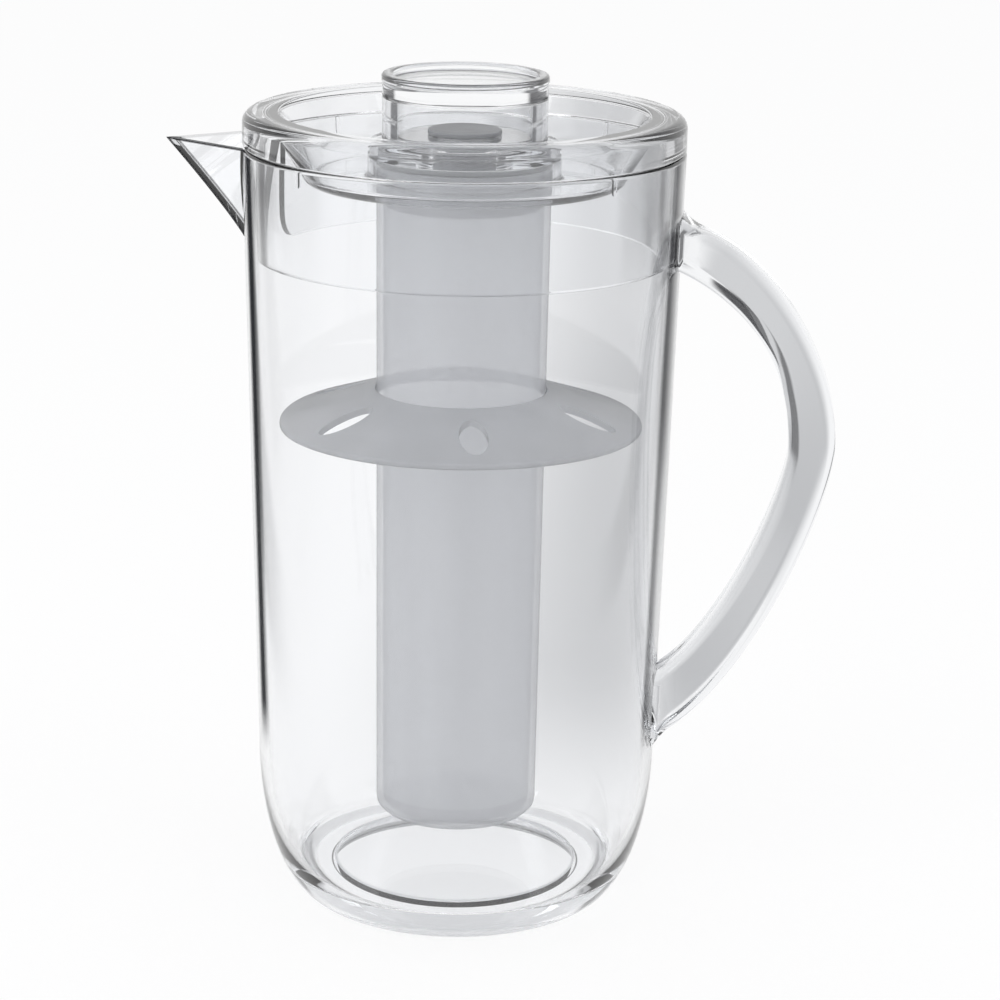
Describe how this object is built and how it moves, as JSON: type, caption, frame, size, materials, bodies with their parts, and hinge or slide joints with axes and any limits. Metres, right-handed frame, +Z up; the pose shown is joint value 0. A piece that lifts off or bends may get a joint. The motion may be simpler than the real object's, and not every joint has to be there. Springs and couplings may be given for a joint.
{
  "type": "fruit infusion pitcher",
  "caption": "Clear lidded pitcher with a pointed pouring spout, an arched handle, a frosted core tube hung from the lid and a conical disc with oval holes on the tube.",
  "frame": {"origin": "middle of the footprint, on the table that the pitcher stands on", "axes": "+Z up, +X towards the handle, -X towards the spout"},
  "size_m": [0.2152, 0.14, 0.2719],
  "materials": {
    "pitcher_body": "clear polished acrylic",
    "pour_spout": "clear polished acrylic",
    "handle": "clear polished acrylic, solid",
    "lid": "clear polished acrylic",
    "lid_knob": "clear polished acrylic",
    "core_cap": "frosted grey plastic",
    "tube_seal": "pale silicone",
    "core_tube": "frosted grey translucent plastic",
    "fruit_disc": "frosted grey translucent plastic"
  },
  "bodies": {
    "pitcher": {"pitcher_body": "pitcher_body", "pour_spout": "pour_spout", "handle": "handle"},
    "lid": {"lid": "lid", "lid_knob": "lid_knob", "core_cap": "core_cap", "tube_seal": "tube_seal"},
    "core": {"core_tube": "core_tube"},
    "disc": {"fruit_disc": "fruit_disc"}
  },
  "joints": [
    {"name": "lid_lift", "type": "slide", "parent": "pitcher", "child": "lid", "axis": [0, 0, 1], "range_m": [0, 0.24]},
    {"name": "tube_turn", "type": "hinge", "parent": "lid", "child": "core", "pos_m": [-0.01265, 0, 0.2454], "axis": [0, 0, 1], "range_deg": [-360, 0]},
    {"name": "disc_slide", "type": "slide", "parent": "core", "child": "disc", "axis": [0, 0, 1], "range_m": [-0.12, 0]}
  ]
}
